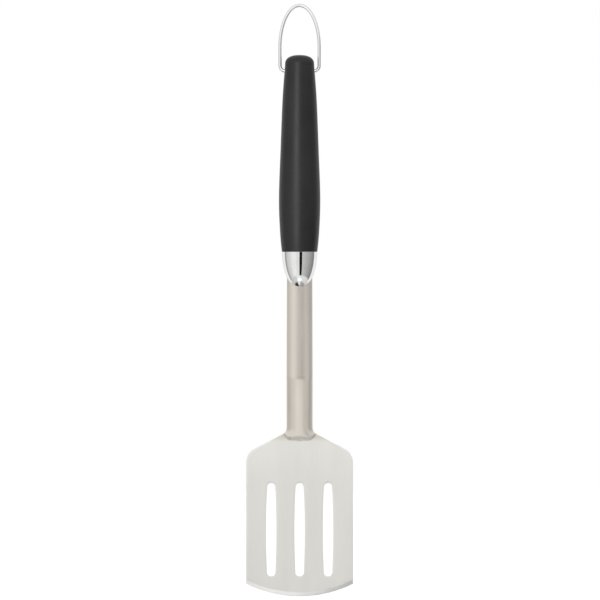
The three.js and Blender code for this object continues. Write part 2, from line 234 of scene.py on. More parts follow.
class Tree:
    """A thin hand for one node tree."""

    def __init__(self, tree: bpy.types.NodeTree) -> None:
        """Takes a node tree."""
        self.tree = tree

    def link(self, source: Socket, target: Socket) -> None:
        """Joins two sockets."""
        self.tree.links.new(source, target)

    def feed(self, target: Socket, value: Socket | float | tuple[float, ...]) -> None:
        """Gives a socket its value.

        Args:
            target: the socket.
            value: a socket to link, a number, or a colour.
        """
        if isinstance(value, Socket):
            self.link(value, target)
        else:
            target.default_value = (*value, 1) if isinstance(value, tuple) else value

    def spread(
        self, value: Socket, low: float, high: float,
        from_low: float = 0.3, from_high: float = 0.7,
    ) -> Socket:
        """Maps a value to a new range.

        Args:
            value: the value.
            low: the result at from_low.
            high: the result at from_high.
            from_low: start of the range that counts.
            from_high: end of the range that counts.

        Returns:
            The mapped and clamped value.
        """
        node = self.tree.nodes.new("ShaderNodeMapRange")
        for key, number in (
            ("From Min", from_low), ("From Max", from_high), ("To Min", low), ("To Max", high),
        ):
            node.inputs[key].default_value = number
        self.link(value, node.inputs["Value"])
        return node.outputs["Result"]

    def step(self, value: Socket, start: float, end: float) -> Socket:
        """A smooth step from 0 at start to 1 at end."""
        result = self.spread(value, 0.0, 1.0, start, end)
        result.node.interpolation_type = "SMOOTHSTEP"
        return result

    def mixed(
        self, fac: Socket | float,
        first: Socket | tuple[float, ...],
        second: Socket | tuple[float, ...],
    ) -> Socket:
        """Mixes two colours.

        Args:
            fac: how much of the second colour shows.
            first: the first colour.
            second: the second colour.

        Returns:
            The mixed colour.
        """
        node = self.tree.nodes.new("ShaderNodeMix")
        node.data_type = "RGBA"
        self.feed(node.inputs[0], fac)
        self.feed(node.inputs[6], first)
        self.feed(node.inputs[7], second)
        return node.outputs[2]

    def product(self, first: Socket, second: Socket) -> Socket:
        """Multiplies two colours."""
        result = self.mixed(1.0, first, second)
        result.node.blend_type = "MULTIPLY"
        return result

    def maths(self, operation: str, first: Socket, second: Socket | float) -> Socket:
        """Does one sum.

        Args:
            operation: Blender's name for the sum.
            first: the first value.
            second: the second value, or a number.

        Returns:
            The result.
        """
        node = self.tree.nodes.new("ShaderNodeMath")
        node.operation = operation
        self.link(first, node.inputs[0])
        self.feed(node.inputs[1], second)
        return node.outputs[0]

    def mean(self, first: Socket, second: Socket) -> Socket:
        """The mean of two values."""
        return self.maths("MULTIPLY", self.maths("ADD", first, second), 0.5)

    def ramp(self, value: Socket, stops: list[tuple[float, tuple[float, ...]]]) -> Socket:
        """Adds a colour ramp.

        Args:
            value: where on the ramp.
            stops: places from 0 to 1 and their colours.

        Returns:
            The ramp's colour.
        """
        node = self.tree.nodes.new("ShaderNodeValToRGB")
        marks = node.color_ramp.elements
        while len(marks) < len(stops):
            marks.new(1.0)
        for mark, (place, colour) in zip(marks, stops):
            mark.position = place
            mark.color = (*colour, 1)
        self.link(value, node.inputs["Fac"])
        return node.outputs["Color"]


class Nodes(Tree):
    """A thin hand for one material's node tree."""

    def __init__(self, name: str) -> None:
        """Starts a material with its shader and output in place.

        Args:
            name: the material's name.
        """
        self.material = bpy.data.materials.new(name)
        self.material.use_nodes = True
        super().__init__(self.material.node_tree)
        self.shader = next(n for n in self.tree.nodes if n.type == "BSDF_PRINCIPLED")
        self.place = self.tree.nodes.new("ShaderNodeTexCoord").outputs["Object"]

    def set(self, **values: float | tuple[float, ...]) -> None:
        """Sets constant values on the shader's own sockets, with _ for a space in a name."""
        for key, value in values.items():
            self.shader.inputs[key.replace("_", " ")].default_value = value

    def mapped(self, scale: Triple, source: Socket | None = None) -> Socket:
        """Stretches the coordinates.

        Args:
            scale: the factor along each axis, per metre of the object.
            source: the coordinates, or None for the object's own.

        Returns:
            The stretched coordinates.
        """
        node = self.tree.nodes.new("ShaderNodeMapping")
        node.inputs["Scale"].default_value = scale
        self.link(source or self.place, node.inputs["Vector"])
        return node.outputs["Vector"]

    def noise(
        self, vector: Socket, scale: float = 1.0, detail: float = 2.0,
        roughness: float = 0.5,
    ) -> Socket:
        """Adds a noise.

        Args:
            vector: its coordinates.
            scale: its scale.
            detail: how many octaves it has.
            roughness: how much the finer octaves weigh.

        Returns:
            The noise's value, from 0 to 1.
        """
        node = self.tree.nodes.new("ShaderNodeTexNoise")
        node.inputs["Scale"].default_value = scale
        node.inputs["Detail"].default_value = detail
        node.inputs["Roughness"].default_value = roughness
        self.link(vector, node.inputs["Vector"])
        return node.outputs["Fac"]

    def coat(
        self, colour: Socket, roughness: Socket,
        relief: Socket, depth: float,
    ) -> bpy.types.Material:
        """Gives the shader its colour, roughness and relief.

        Args:
            colour: the base colour.
            roughness: the roughness.
            relief: the surface's height, from 0 to 1.
            depth: the relief's full height in metres.

        Returns:
            The finished material.
        """
        bump = self.tree.nodes.new("ShaderNodeBump")
        bump.inputs["Strength"].default_value = 1.0
        bump.inputs["Distance"].default_value = depth
        self.link(relief, bump.inputs["Height"])
        self.link(colour, self.shader.inputs["Base Color"])
        self.link(roughness, self.shader.inputs["Roughness"])
        self.link(bump.outputs["Normal"], self.shader.inputs["Normal"])
        return self.material


class Grain(Enum):
    """Which way the fine scratches of a brushed face run, as the pattern's scale per metre."""

    LENGTHWISE = (4200.0, 0.0, 45.0)
    CROSSWISE = (60.0, 0.0, 4200.0)


@dataclass(frozen=True)
class BrushedSteel:
    """Satin stainless steel with fine scratches one way, its colour multiplied by painted light and
    shade that change with height.
    """

    name: str
    slot: str = "satin_steel"
    light: Triple = (0.87, 0.865, 0.83)
    dark: Triple = (0.80, 0.795, 0.755)
    # Painted light and shade by height (Z in metres), standing in for the softboxes' fall-off. It
    # is darker towards the tip, lightest a little below the span's top, and warmer and darker from
    # the span's top upwards, over the shank.
    painted_light_span: Pair = (-0.4536, -0.3236)
    painted_light_stops: tuple[tuple[float, Triple], ...] = (
        (0.00, (0.93, 0.925, 0.92)), (0.30, (0.955, 0.95, 0.945)), (0.70, (1.0, 0.995, 0.985)),
        (0.85, (1.045, 1.04, 1.03)), (0.912, (1.045, 1.04, 1.03)), (0.94, (0.92, 0.875, 0.835)),
        (1.0, (0.93, 0.87, 0.825)),
    )
    roughness: Pair = (0.38, 0.46)
    grain: Grain = Grain.LENGTHWISE
    scratch: float = 0.000002

    def material(self) -> bpy.types.Material:
        """Builds the material."""
        nodes = Nodes(self.name)
        nodes.set(Metallic=1.0)
        streaks = nodes.noise(nodes.mapped(self.grain.value), detail=3.0, roughness=0.6)
        broad = nodes.noise(nodes.mapped((60.0, 60.0, 9.0)), detail=3.0)
        cloud = nodes.noise(nodes.place, scale=22.0, detail=3.0)
        tone = nodes.spread(nodes.mean(streaks, broad), 0.0, 1.0, 0.35, 0.65)
        colour = nodes.mixed(tone, self.dark, self.light)
        split = nodes.tree.nodes.new("ShaderNodeSeparateXYZ")
        nodes.link(nodes.place, split.inputs[0])
        # painted light and shade: the colour is multiplied by a ramp up the object's height
        down = nodes.spread(split.outputs["Z"], 0.0, 1.0, *self.painted_light_span)
        painted_light = nodes.ramp(down, list(self.painted_light_stops))
        blur = nodes.spread(nodes.mean(streaks, cloud), *self.roughness, 0.35, 0.65)
        return nodes.coat(nodes.product(colour, painted_light), blur, streaks, self.scratch)


@dataclass(frozen=True)
class Chrome:
    """Bright chrome plate over a polished casting."""

    name: str = "chrome_plate"
    slot: str = "chrome"
    colour: Triple = (0.86, 0.86, 0.85)
    haze: Triple = (0.80, 0.80, 0.79)
    roughness: Pair = (0.035, 0.075)
    ripple: float = 0.000004

    def material(self) -> bpy.types.Material:
        """Builds the material."""
        nodes = Nodes(self.name)
        nodes.set(Metallic=1.0)
        cloud = nodes.noise(nodes.place, scale=180.0, detail=4.0)
        colour = nodes.mixed(nodes.spread(cloud, 0.0, 1.0), self.haze, self.colour)
        peel = nodes.noise(nodes.place, scale=420.0, detail=1.0)
        return nodes.coat(colour, nodes.spread(cloud, *self.roughness), peel, self.ripple)


@dataclass(frozen=True)
class DrawnWire:
    """Polished stainless wire, with faint drawing lines along its own length."""

    name: str = "polished_wire"
    slot: str = "polished_wire"
    light: Triple = (0.84, 0.835, 0.83)
    dark: Triple = (0.76, 0.755, 0.75)
    rim: tuple[float, float, float, float] = (0.4, 0.4, 0.4, 1.0)
    roughness: Pair = (0.12, 0.20)
    line: float = 0.0000015

    def material(self) -> bpy.types.Material:
        """Builds the material, which reads the piece's own UV map: length, then girth."""
        nodes = Nodes(self.name)
        nodes.set(Metallic=1.0, Specular_Tint=self.rim)
        uv = nodes.tree.nodes.new("ShaderNodeUVMap")
        uv.uv_map = HangingLoop.UV_NAME
        lines = nodes.noise(nodes.mapped((14.0, 60.0, 1.0), uv.outputs["UV"]), detail=3.0)
        colour = nodes.mixed(nodes.spread(lines, 0.0, 1.0), self.dark, self.light)
        return nodes.coat(colour, nodes.spread(lines, *self.roughness), lines, self.line)


@dataclass(frozen=True)
class SoftTouch:
    """Black soft-touch rubber with a fine moulded stipple."""

    name: str = "soft_touch"
    slot: str = "soft_grip"
    dark: Triple = (0.006, 0.006, 0.006)
    light: Triple = (0.014, 0.014, 0.014)
    roughness: Pair = (0.36, 0.44)
    stipple: float = 0.00006
    sheen: float = 0.01

    def material(self) -> bpy.types.Material:
        """Builds the material."""
        nodes = Nodes(self.name)
        nodes.set(Sheen_Weight=self.sheen, Sheen_Roughness=0.45, Specular_IOR_Level=0.36)
        fine = nodes.noise(nodes.place, scale=2600.0, detail=1.0)
        pores = nodes.tree.nodes.new("ShaderNodeTexVoronoi")
        pores.inputs["Scale"].default_value = 1500.0
        nodes.link(nodes.place, pores.inputs["Vector"])
        cloud = nodes.noise(nodes.place, scale=45.0, detail=4.0)
        grain = nodes.mean(fine, pores.outputs["Distance"])
        tone = nodes.spread(nodes.mean(grain, cloud), 0.0, 1.0, 0.3, 0.6)
        colour = nodes.mixed(tone, self.dark, self.light)
        return nodes.coat(colour, nodes.spread(cloud, *self.roughness), grain, self.stipple)


@dataclass(frozen=True)
class MouldedNylon:
    """Glass-filled nylon of the core, dull and slightly mottled."""

    name: str = "moulded_nylon"
    slot: str = "core_plastic"
    dark: Triple = (0.030, 0.030, 0.032)
    light: Triple = (0.055, 0.055, 0.058)
    roughness: Pair = (0.45, 0.62)
    mottle_depth: float = 0.00003

    def material(self) -> bpy.types.Material:
        """Builds the material."""
        nodes = Nodes(self.name)
        mottle = nodes.noise(nodes.place, scale=320.0, detail=5.0)
        colour = nodes.mixed(nodes.spread(mottle, 0.0, 1.0), self.dark, self.light)
        blur = nodes.spread(mottle, *self.roughness)
        return nodes.coat(colour, blur, mottle, self.mottle_depth)


# ---- the stamping --------------------------------------------------------------------------


@dataclass(frozen=True)
class Row:
    """One row of the stamping's sheet, from its middle to its side."""

    middle: float  # its height at the middle
    side: Pair  # its half width, and its height there
    slot_half: float
    cap: float = 0.0  # how far it follows the slots' round ends, up or down
    bow: float = 0.0  # how far it follows the curved front
    in_slot: bool = False  # whether the slots are open below it


@dataclass
class Stamping:
    """Blade, neck, arched shank and tang, pressed from one sheet."""

    thickness: float = 1.5
    most_lean: float = 0.9  # slope up to which both faces keep the thickness apart
    lean_step: float = 0.01
    tang_half: float = 8.0
    shank_top_half: float = 9.75
    shank_half: float = 10.0
    arch_rise: float = 5.0
    arch_fullness: float = 2.7  # exponent of the arch's section
    seat: float = 2.0  # how far the shank's edges lie behind the handle's axis
    form_below_foot: float = 3.0
    form_length: float = 14.0
    to_crank: float = 97.0
    crank_slope: float = math.tan(math.radians(20))
    crank_bend: float = 3.5
    crank_drop: float = 42.5
    blade_slope: float = math.tan(math.radians(8))
    heel_bend: float = 3.0
    neck_above_heel: float = 4.0
    neck_flare: float = 0.14  # growth of the ridge's half width per square of the way down
    toe_below_neck: float = 10.2
    toe_slope: float = math.tan(math.radians(45))
    toe_round: float = 0.35  # share of the end wall's height that each of its bends takes
    toe_half: float = 12.6
    toe_bow: float = 5.6  # how much higher the wall meets the blade that far out
    toe_fullness: float = 5.0  # exponent of the line where they meet
    toe_margin: float = 1.0  # of the close rows, below the toe
    shoulder_start: float = 0.5
    shoulder_slope: float = math.tan(math.radians(27.5))
    shoulder_reach: float = 7.6
    neck_reach: float = 3.6
    front_sagitta: float = 9.5
    bevel_width: float = 3.0
    bevel_depth: float = 0.9
    pitch: float = 21.9
    slot_length: float = 71.7
    slot_halves: Triple = (3.1, 4.0, 3.2)
    slot_cap: float = 2.9
    slot_above_tip: float = 15.2
    above_slot: float = 10.0  # from the slots up to where the rows begin to level out
    rivet_hole: float = 2.7
    edge_round: float = 0.32
    front_round: float = 0.12
    edge_angle: float = math.radians(50)  # from which an edge is a cut one
    front_reach: float = 0.5  # within which an edge belongs to the front
    least_run: float = 0.3  # of a front edge along X
    most_turn: float = 0.2  # Y of the normal, up to which a face is ground
    sharp: float = 24.0
    lanes: tuple[int, int, int] = (8, 10, 8)  # columns outside, over and between the slots
    shoulder_steps: int = 24
    straight_rows: tuple[int, ...] = (12, 16, 10, 20, 6)  # tang, forming, shank, crank, below
    neck_rows: tuple[int, int] = (34, 22)
    level_rows: int = 6
    slot_rows: int = 26
    front_rows: tuple[int, int] = (7, 4)
    steel: BrushedSteel = BrushedSteel("satin_steel")
    ground: BrushedSteel = BrushedSteel(
        "ground_edge", light=(0.95, 0.945, 0.93), dark=(0.88, 0.875, 0.86),
        roughness=(0.30, 0.40), grain=Grain.CROSSWISE, scratch=0.000002,
    )

    def __post_init__(self) -> None:
        """Takes the places that it shares with the frame."""
        low, high = node_box("blade_and_shank")
        self.tip = low.z
        self.top = high.z
        self.half = high.x
        self.foot = node_box("grip_sleeve")[0].z
        self.crank = self.foot - self.to_crank
        self.heel = self.crank - self.crank_drop
        self.neck = self.heel + self.neck_above_heel
        self.toe = self.neck - self.toe_below_neck
        self.fold = self.crank_slope + self.blade_slope
        self.form_top = self.foot - self.form_below_foot
        self.front_radius = (self.half**2 + self.front_sagitta**2) / (2 * self.front_sagitta)
        self.front_centre = self.tip + self.front_radius

    # ---- the pressed shape ----

    def ridge(self, x: float, z: float) -> float:
        """Height of the arched ridge over the sheet's edges at a place."""
        spread = max(0.0, self.neck - z)
        across = abs(x) / (self.shank_half + self.neck_flare * spread**2)
        arch = self.arch_rise * max(0.0, 1 - across**self.arch_fullness)
        crown = arch - self.fold * self.past_bend(self.heel - z, self.heel_bend)
        if crown <= 0:
            return 0.0
        foot = self.toe + self.toe_bow * abs(x / self.toe_half) ** self.toe_fullness
        up = self.toe_slope * (z - foot) / crown
        return crown * (self.past_bend(up, self.toe_round) - self.past_bend(up - 1, self.toe_round))

    @staticmethod
    def past_bend(distance: float, length: float) -> float:
        """Distance past a bend that turns evenly over its length."""
        into = distance + length / 2
        if into <= 0:
            return 0.0
        return into**2 / (2 * length) if into < length else distance

    def depth(self, x: float, z: float) -> float:
        """Y of the sheet's middle surface at a place."""
        formed = smooth_step((self.form_top - z) / self.form_length)
        return (
            formed * (self.seat - self.ridge(x, z))
            + self.crank_slope * self.past_bend(self.crank - z, self.crank_bend)
            - self.fold * self.past_bend(self.heel - z, self.heel_bend)
        )

    def surface(self, x: float, z: float, side: int, allowance: float) -> Vector:
        """A point on one face of the sheet.

        Args:
            x: place across.
            z: place down the outline.
            side: -1 for the food side, 1 for the back.
            allowance: how much thicker the sheet is on each side.

        Returns:
            The point.
        """
        step = self.lean_step
        lean = min(self.most_lean, math.hypot(
            (self.depth(x - step, z) - self.depth(x + step, z)) / (2 * step),
            (self.depth(x, z - step) - self.depth(x, z + step)) / (2 * step),
        ))
        out = self.thickness / 2 + allowance
        if side < 0:
            ground = 1 - self.from_front(x, z) / self.bevel_width
            out -= self.bevel_depth * max(0.0, ground)
        return Vector((x, self.depth(x, z) + side * out * math.hypot(1.0, lean), z))

    def from_front(self, x: float, z: float) -> float:
        """How far a place is from the blade's curved front edge."""
        if z >= self.front_centre:
            return self.front_radius
        return self.front_radius - math.hypot(x, z - self.front_centre)

    # ---- the outline ----

    def shoulder(self) -> list[Pair]:
        """The side from the top of the neck to the straight side of the blade."""
        start = self.heel + self.shoulder_start
        slope = Vector((1.0, -self.shoulder_slope)).normalized()
        first = Vector((self.shank_half, start))
        second = Vector((self.half, start - (self.half - self.shank_half) * self.shoulder_slope))
        down = Vector((0, -self.shoulder_reach))
        corners = (
            (first + Vector((0, self.neck_reach)), first, first + slope * self.neck_reach),
            (second - slope * self.shoulder_reach, second, second + down),
        )
        points = []
        for curve in corners:
            for step in range(self.shoulder_steps + 1):
                t = step / self.shoulder_steps
                points.append(tuple(bezier(*values, t) for values in zip(*curve)))
        return points

    def straight_half(self, z: float) -> float:
        """Half the width of the tang and the shank at a height."""
        full = self.form_top - self.form_length / 2
        places = (
            (self.form_top, self.tang_half), (full, self.shank_top_half),
            (self.crank, self.shank_half),
        )
        if z >= self.form_top:
            return self.tang_half
        for (high, first), (low, second) in zip(places, places[1:]):
            if z >= low:
                return first + (second - first) * (high - z) / (high - low)
        return self.shank_half

    @staticmethod
    def along(points: list[Pair], share: float) -> Pair:
        """The point at a share of a line's length.

        Args:
            points: the line's points.
            share: how far along, from 0 to 1.

        Returns:
            The point.
        """
        lengths = [math.dist(a, b) for a, b in zip(points, points[1:])]
        left = share * sum(lengths)
        for (a, b), length in zip(zip(points, points[1:]), lengths):
            if left <= length:
                t = left / length
                return a[0] + (b[0] - a[0]) * t, a[1] + (b[1] - a[1]) * t
            left -= length
        return points[-1]

    def rows(self, grow: float) -> list[Row]:
        """Every row of the sheet from the tang's end to the tip.

        Args:
            grow: how much wider the tang and the shank are on each side.

        Returns:
            The rows, from the top down.
        """
        narrow = self.slot_halves[0]
        bend = self.crank_bend / 2
        neck_top = self.heel + self.shoulder_start + self.neck_reach
        starts = (
            self.top + grow, self.form_top, self.form_top - self.form_length,
            self.crank + bend, self.crank - bend,
        )
        made = []
        for z in runs(starts, self.straight_rows, neck_top):
            made.append(Row(z, (self.straight_half(z) + grow, z), narrow))
        slot_top = self.tip + self.slot_above_tip + self.slot_length - self.slot_cap
        slot_bottom = self.tip + self.slot_above_tip + self.slot_cap
        rest = slot_top + self.above_slot
        side = self.shoulder()
        starts = (neck_top, self.toe - self.toe_margin)
        for z in runs(starts, self.neck_rows, rest)[1:]:
            made.append(Row(z, self.along(side, (neck_top - z) / (neck_top - rest)), narrow))
        low = side[-1][1]
        for step in range(1, self.level_rows + 1):
            t = step / self.level_rows
            edge = (self.half, low + (slot_top - low) * t)
            made.append(Row(rest + (slot_top - rest) * t, edge, narrow, smooth_step(t)))
        top, middle, bottom = self.slot_halves
        bulge = 2 * middle - (top + bottom) / 2
        made[-1] = Row(slot_top, (self.half, slot_top), top, 1.0, in_slot=True)
        for step in range(1, self.slot_rows + 1):
            t = step / self.slot_rows
            z = slot_top + (slot_bottom - slot_top) * t
            last = step == self.slot_rows
            made.append(Row(
                z, (self.half, z), bezier(top, bulge, bottom, t), -1.0 if last else 0.0,
                in_slot=not last,
            ))
        bevel = self.tip + self.bevel_width
        for z in runs((slot_bottom, bevel), self.front_rows, self.tip)[1:]:
            bow = smooth_step((slot_bottom - z) / (slot_bottom - bevel))
            made.append(Row(z, (self.half, z), bottom, bow - 1.0, bow))
        return made

    def columns(self, slot_half: float) -> list[Pair]:
        """Where the sheet's columns stand.

        Args:
            slot_half: half the slots' width at this row.

        Returns:
            For each column its X and how far it is up a slot's round end, 0 outside slots.
        """
        outer, slot, between = self.lanes
        made: list[Pair] = []
        start = -self.half
        for centre, before in ((-self.pitch, outer), (0.0, between), (self.pitch, between)):
            end = centre - slot_half
            made += [(start + (end - start) * step / before, 0.0) for step in range(before)]
            turns = [math.pi * step / slot for step in range(slot)]
            made += [(centre - slot_half * math.cos(turn), math.sin(turn)) for turn in turns]
            start = centre + slot_half
        made += [(start + (self.half - start) * step / outer, 0.0) for step in range(outer)]
        return made + [(self.half, 0.0)]

    def sheet(self, allowance: float = 0.0) -> BMesh:
        """Presses the sheet.

        Args:
            allowance: how much it is grown all round, for cutting its seat in other pieces.

        Returns:
            The closed mesh, with slots and square edges.
        """
        rows = self.rows(allowance)
        places = [self.columns(row.slot_half) for row in rows]
        count, depth = len(places[0]) - 1, len(rows) - 1
        bm = bmesh.new()
        bmesh.ops.create_grid(bm, x_segments=count, y_segments=depth, size=0.5)
        across = bm.verts.layers.float.new("across")
        down = bm.verts.layers.float.new("down")
        outer, slot, between = self.lanes
        lanes = [outer + (slot + between) * k for k in range(3)]
        gone = []
        for face in bm.faces:
            middle = face.calc_center_median()
            column = (middle.x + 0.5) * count
            open_below = rows[int((0.5 - middle.y) * depth)].in_slot
            if open_below and any(start < column < start + slot for start in lanes):
                gone.append(face)
        for vert in bm.verts:
            column = round((vert.co.x + 0.5) * count)
            level = round((0.5 - vert.co.y) * depth)
            row = rows[level]
            x, dome = places[level][column]
            share = x / self.half
            bow = self.front_radius - math.sqrt(self.front_radius**2 - x**2)
            vert[across] = row.side[0] * share
            vert[down] = (
                row.middle + (row.side[1] - row.middle) * share**2
                + row.cap * dome * self.slot_cap + row.bow * bow
            )
        bmesh.ops.delete(bm, geom=gone, context="FACES")
        made = bmesh.ops.extrude_face_region(bm, geom=bm.faces[:])["geom"]
        backs = {item for item in made if isinstance(item, bmesh.types.BMVert)}
        for vert in bm.verts:
            side = 1 if vert in backs else -1
            vert.co = self.surface(vert[across], vert[down], side, allowance)
        bmesh.ops.recalc_face_normals(bm, faces=bm.faces)
        return bm

    def round_edges(self, bm: BMesh) -> None:
        """Breaks the sheet's cut edges, and marks its ground front as the second finish."""
        rims, fronts = [], []
        for edge in bm.edges:
            if edge.calc_face_angle(0.0) < self.edge_angle:
                continue
            first, second = (vert.co for vert in edge.verts)
            middle = (first + second) / 2
            near_front = self.from_front(middle.x, middle.z) < self.front_reach
            along_x = abs(first.x - second.x) > self.least_run
            (fronts if near_front and along_x else rims).append(edge)
        bmesh.ops.bevel(bm, geom=fronts, offset=self.front_round, **BEVEL)
        rims = [edge for edge in rims if edge.is_valid]
        bmesh.ops.bevel(bm, geom=rims, offset=self.edge_round, clamp_overlap=True, **BEVEL)
        for face in bm.faces:
            middle = face.calc_center_median()
            ground = self.from_front(middle.x, middle.z) < self.bevel_width
            face.material_index = 1 if ground and face.normal.y < self.most_turn else 0

    def build(self) -> bpy.types.Object:
        """Makes the finished stamping, which stands for its CAD node."""
        bm = self.sheet()
        self.round_edges(bm)
        piece = finish_piece(bm, "stamped_blade", self.sharp)
        rivets = []
        for name in ("bottom", "middle", "top"):
            low, high = node_box(f"tang_rivet_{name}")
            middle = (low + high) / 2
            reach = Vector((0, self.thickness * 2, 0))
            rivets.append(rod(f"hole_{name}", self.rivet_hole, middle - reach, middle + reach))
        cut(piece, rivets, self.sharp)
        self.crease_front(piece)
        piece.data.materials.append(self.steel.material())
        piece.data.materials.append(self.ground.material())
        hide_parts("blade_and_shank")
        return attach(piece, "spatula")

    @staticmethod
    def crease_front(piece: bpy.types.Object) -> None:
        """Keeps the line crisp where the grinding wheel stopped."""
        bm = bmesh.new()
        bm.from_mesh(piece.data)
        for edge in bm.edges:
            if len({face.material_index for face in edge.link_faces}) > 1:
                edge.smooth = False
        bm.to_mesh(piece.data)
        bm.free()

    def seat_tool(self, clearance: float) -> bpy.types.Object:
        """The sheet grown by a clearance, for cutting its seat in another piece."""
        return finish_piece(self.sheet(clearance), "seat_tool")


# ---- handle and bolster --------------------------------------------------------------------


@dataclass
class Grip:
    """The soft overmould of the handle, with a hole for each end of the loop."""

    shares: tuple[Pair, ...] = (
        (13.7, 151.6), (15.1, 136.1), (15.95, 110.0), (14.65, 71.5), (13.2, 34.6), (11.2, 7.0),
    )
    dome_fullness: float = 2.4
    wall: float = 2.5
    hole_radius: float = 2.0
    hole_start: float = 5.0  # of the cut for each hole, from the middle
    foot_round: float = 0.7
    mouth_round: float = 0.45
    rim_margin: float = 0.1
    mouth_margin: float = 0.2
    steps: int = 128
    outer_steps: tuple[int, int] = (12, 20)  # between two stations, and over the dome
    inner_steps: tuple[int, int] = (3, 6)
    finish: SoftTouch = SoftTouch()

    def __post_init__(self) -> None:
        """Takes the places that it shares with the frame."""
        low, high = node_box("grip_sleeve")
        self.top = high.z
        self.foot = low.z
        self.depth_ratio = high.y / high.x
        self.pivot = node_box("hanging_loop")[0].z + HangingLoop.wire / 2

    def side(self, inset: float, steps: int) -> list[Pair]:
        """The side from the foot to the dome, as a smooth curve through its stations.

        Args:
            inset: how far it is drawn in.
            steps: steps between two stations.

        Returns:
            Points of half width and height, going up.
        """
        stations = [Vector((half - inset, self.top - drop)) for half, drop in self.shares]
        before = [stations[0], *stations, stations[-1]]
        points = []
        for a, b, c, d in zip(before, before[1:], before[2:], before[3:]):
            for step in range(steps):
                t = step / steps
                points.append(self.catmull(a, b, c, d, t))
        return [(point.x, point.y) for point in [*points, stations[-1]]]

    @staticmethod
    def catmull(a: Vector, b: Vector, c: Vector, d: Vector, t: float) -> Vector:
        """A point between b and c on the smooth curve through four points."""
        return (
            b * 2 + (c - a) * t + (a * 2 - b * 5 + c * 4 - d) * t**2
            + (b * 3 - a - c * 3 + d) * t**3
        ) / 2

    def dome(self, inset: float, steps: int) -> list[Pair]:
        """The domed end, from just above its rim to the axis."""
        half, height = self.shares[-1]
        power = 2 / self.dome_fullness
        points = []
        for sine, cosine in quarter_turn(steps)[1:-1]:
            up = (height - inset) * sine**power
            points.append(((half - inset) * cosine**power, self.top - height + up))
        return points + [(0.0, self.top - inset)]

    def build(self) -> bpy.types.Object:
        """Makes the finished grip, which stands for its CAD node."""
        outer, inner = (
            self.side(inset, sides) + self.dome(inset, domes)
            for inset, (sides, domes) in ((0.0, self.outer_steps), (self.wall, self.inner_steps))
        )
        bm = spun(inner[::-1] + outer, self.steps, self.depth_ratio)
        piece = finish_piece(bm, "soft_grip", sharp=40)
        reach = Vector((self.shares[2][0], 0, 0))
        inside = Vector((self.hole_start, 0, 0))
        level = Vector((0, 0, self.pivot))
        cut(piece, [
            rod("hole_left", self.hole_radius, level - inside, level - reach),
            rod("hole_right", self.hole_radius, level + inside, level + reach),
        ], sharp=40)
        self.soften(piece)
        piece.data.materials.append(self.finish.material())
        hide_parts("grip_sleeve")
        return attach(piece, "spatula")

    def soften(self, piece: bpy.types.Object) -> None:
        """Rounds the outer rim of the foot and the mouths of the two holes."""
        bm = bmesh.new()
        bm.from_mesh(piece.data)
        bmesh.ops.scale(bm, vec=Vector((1 / MM,) * 3), verts=bm.verts)
        bmesh.ops.remove_doubles(bm, verts=bm.verts, dist=WELD)
        rims, mouths = [], []
        foot_half, top_half = (self.shares[k][0] - self.wall / 2 for k in (0, -1))
        for edge in bm.edges:
            if edge.calc_face_angle(0.0) < math.radians(40):
                continue
            middle = (edge.verts[0].co + edge.verts[1].co) / 2
            across = math.hypot(middle.x, middle.y / self.depth_ratio)
            from_pivot = math.hypot(middle.y, middle.z - self.pivot)
            if middle.z < self.foot + self.rim_margin and across > foot_half:
                rims.append(edge)
            elif from_pivot < self.hole_radius + self.mouth_margin and across > top_half:
                mouths.append(edge)
        bmesh.ops.bevel(bm, geom=rims, offset=self.foot_round, **BEVEL)
        mouths = [edge for edge in mouths if edge.is_valid]
        bmesh.ops.bevel(bm, geom=mouths, offset=self.mouth_round, clamp_overlap=True, **BEVEL)
        bmesh.ops.scale(bm, vec=Vector((MM,) * 3), verts=bm.verts)
        bm.to_mesh(piece.data)
        bm.free()
        shade(piece.data, 50)


@dataclass
class Bolster:
    """The chromed nose cone between the handle and the shank."""

    rim_round: float = 0.06
    wall: float = 2.0
    socket_depth: float = 8.3
    clearance: float = 0.28
    rings: int = 72
    rim_steps: int = 5
    steps: int = 192
    finish: Chrome = Chrome()

    def __post_init__(self) -> None:
        """Takes its box from the frame."""
        low, high = node_box("bolster")
        self.top = node_box("grip_sleeve")[0].z
        self.length = self.top - low.z
        self.half = high.x
        self.depth_ratio = high.y / high.x

    def profile(self) -> list[Pair]:
        """Its outline from the tip up the nose, over the rounded rim and down the socket."""
        support = self.top - self.rim_round * 3
        nose = [
            (self.half * sine, self.top - self.length * cosine)
            for sine, cosine in quarter_turn(self.rings)
        ]
        points = [point for point in nose if point[1] <= support] + [(self.half, support)]
        for sine, cosine in quarter_turn(self.rim_steps):
            points.append((
                self.half - self.rim_round * (1 - cosine), self.top - self.rim_round * (1 - sine),
            ))
        socket = self.half - self.wall * 2
        points += [(socket, self.top), (socket, self.top - self.socket_depth)]
        return points + [(0.0, self.top - self.socket_depth)]

    def build(self, stamping: Stamping) -> bpy.types.Object:
        """Makes the finished bolster, cut to pass the shank.

        Args:
            stamping: the piece that passes through it.

        Returns:
            The bolster, which stands for its CAD node.
        """
        bm = spun(self.profile(), self.steps, self.depth_ratio)
        piece = finish_piece(bm, "nose_bolster", sharp=40)
        cut(piece, [stamping.seat_tool(self.clearance)], sharp=40)
        piece.data.materials.append(self.finish.material())
        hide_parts("bolster")
        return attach(piece, "spatula")


# ---- hanging loop --------------------------------------------------------------------------


